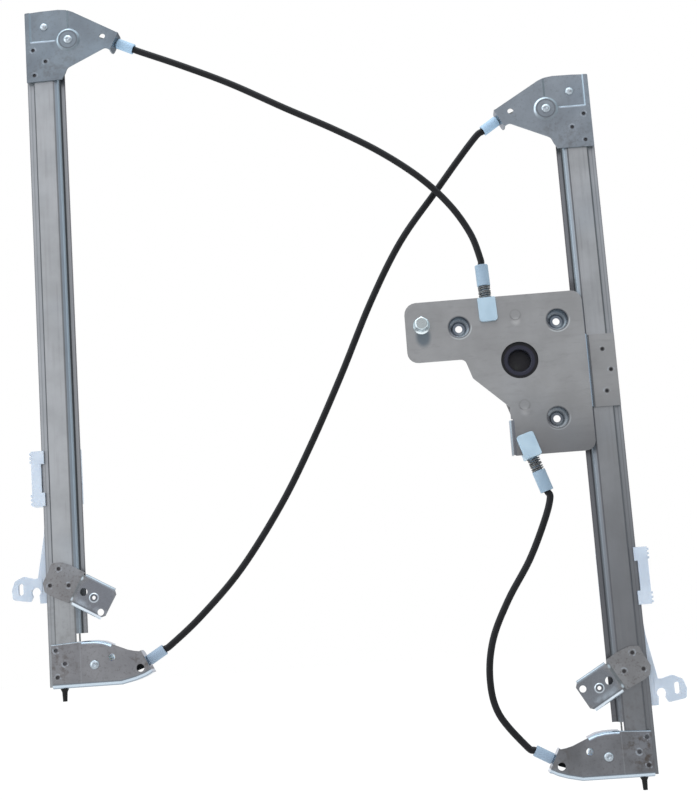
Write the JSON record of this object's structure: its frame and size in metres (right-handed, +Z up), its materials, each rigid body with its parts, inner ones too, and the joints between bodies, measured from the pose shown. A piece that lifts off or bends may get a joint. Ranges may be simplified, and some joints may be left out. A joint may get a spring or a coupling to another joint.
{
  "type": "window regulator",
  "caption": "Vehicle door window regulator without its motor: pressed rails with cable-driven glass carriers, guide pulleys, a motor plate over the cable drum, and sprung cable conduits.",
  "frame": {"origin": "centre of the motor hole, on the front face of the motor plate", "axes": "+X to the right seen from the cabin side, +Y from the cabin side into the door, +Z up along the rails"},
  "size_m": [0.5416, 0.0361, 0.6939],
  "materials": {
    "rail_steel": "zinc coated, satin",
    "bracket_steel": "zinc coated, satin",
    "plate_steel": "zinc coated, satin",
    "bright_zinc": "bright zinc plate",
    "white_nylon": "moulded, satin",
    "clear_nylon": "moulded, translucent satin",
    "black_sheath": "extruded, satin",
    "dark_plastic": "moulded, matt",
    "drum_plastic": "moulded, satin",
    "black_rubber": "matt",
    "wire_steel": "stranded, greased",
    "spring_steel": "drawn wire"
  },
  "bodies": {
    "frame": {"left_rail": "rail_steel", "right_rail": "rail_steel", "left_top_bracket": "bracket_steel", "right_top_bracket": "bracket_steel", "left_bottom_bracket": "bracket_steel", "right_bottom_bracket": "bracket_steel", "left_side_bracket": "bracket_steel", "right_side_bracket": "bracket_steel", "left_top_stud": "bright_zinc", "right_top_stud": "bright_zinc", "left_top_axle": "bright_zinc", "right_top_axle": "bright_zinc", "left_bottom_axle": "bright_zinc", "right_bottom_axle": "bright_zinc", "left_top_ferrule": "white_nylon", "right_top_ferrule": "white_nylon", "left_bottom_ferrule": "white_nylon", "right_bottom_ferrule": "white_nylon", "left_bumper": "black_rubber", "right_bumper": "black_rubber", "left_rail_cable": "wire_steel", "right_rail_cable": "wire_steel", "motor_plate": "plate_steel", "plate_bolt": "bright_zinc", "drum_housing": "dark_plastic", "feed_cables": "wire_steel", "upper_guide_block": "white_nylon", "lower_guide_block": "white_nylon", "upper_spring": "spring_steel", "lower_spring": "spring_steel", "upper_conduit": "black_sheath", "cross_conduit": "black_sheath", "lower_conduit": "black_sheath"},
    "drum": {"cable_drum": "drum_plastic", "drum_cable": "wire_steel"},
    "left_slider": {"left_carrier": "clear_nylon", "left_nipples": "wire_steel"},
    "right_slider": {"right_carrier": "clear_nylon", "right_nipples": "wire_steel"},
    "left_top_wheel": {"left_top_pulley": "white_nylon"},
    "left_bottom_wheel": {"left_bottom_pulley": "white_nylon"},
    "right_top_wheel": {"right_top_pulley": "white_nylon"},
    "right_bottom_wheel": {"right_bottom_pulley": "white_nylon"},
    "upper_tensioner": {"upper_sleeve": "white_nylon"},
    "lower_tensioner": {"lower_sleeve": "white_nylon"}
  },
  "joints": [
    {"name": "drum_spin", "type": "hinge", "parent": "frame", "child": "drum", "pos_m": [0, 0, 0], "axis": [0, -1, 0], "range_deg": [-98.32, 914.1]},
    {"name": "left_slide", "type": "slide", "parent": "frame", "child": "left_slider", "axis": [0, 0, 1], "range_m": [-0.036, 0.335]},
    {"name": "right_slide", "type": "slide", "parent": "frame", "child": "right_slider", "axis": [0, 0, 1], "range_m": [-0.0365, 0.3355]},
    {"name": "left_top_turn", "type": "hinge", "parent": "frame", "child": "left_top_wheel", "pos_m": [-0.3647, 0.0155, 0.315], "axis": [0, -1, 0], "range_deg": [-1422.78, 153.79]},
    {"name": "left_bottom_turn", "type": "hinge", "parent": "frame", "child": "left_bottom_wheel", "pos_m": [-0.3647, 0.0155, -0.222], "axis": [0, -1, 0], "range_deg": [-1422.78, 153.79]},
    {"name": "right_top_turn", "type": "hinge", "parent": "frame", "child": "right_top_wheel", "pos_m": [0.0417, 0.0155, 0.215], "axis": [0, -1, 0], "range_deg": [-153.79, 1422.78]},
    {"name": "right_bottom_turn", "type": "hinge", "parent": "frame", "child": "right_bottom_wheel", "pos_m": [0.0417, 0.0155, -0.322], "axis": [0, -1, 0], "range_deg": [-153.79, 1422.78]},
    {"name": "upper_tension_slide", "type": "slide", "parent": "frame", "child": "upper_tensioner", "axis": [-0.0401, 0, 0.9992], "range_m": [-0.003, 0], "stiffness_N_per_m": 300, "springref_m": 0.0005, "deforming": ["upper_spring"]},
    {"name": "lower_tension_slide", "type": "slide", "parent": "frame", "child": "lower_tensioner", "axis": [0.309, 0, -0.9511], "range_m": [-0.003, 0], "stiffness_N_per_m": 300, "springref_m": 0.0005, "deforming": ["lower_spring"]}
  ],
  "couplings": [
    {"joint": "drum_spin", "follows": "left_slide", "rad_per_m": 47.619},
    {"joint": "right_slide", "follows": "left_slide", "ratio": 1},
    {"joint": "left_top_turn", "follows": "left_slide", "rad_per_m": -74.074},
    {"joint": "left_bottom_turn", "follows": "left_slide", "rad_per_m": -74.074},
    {"joint": "right_top_turn", "follows": "left_slide", "rad_per_m": 74.074},
    {"joint": "right_bottom_turn", "follows": "left_slide", "rad_per_m": 74.074}
  ]
}
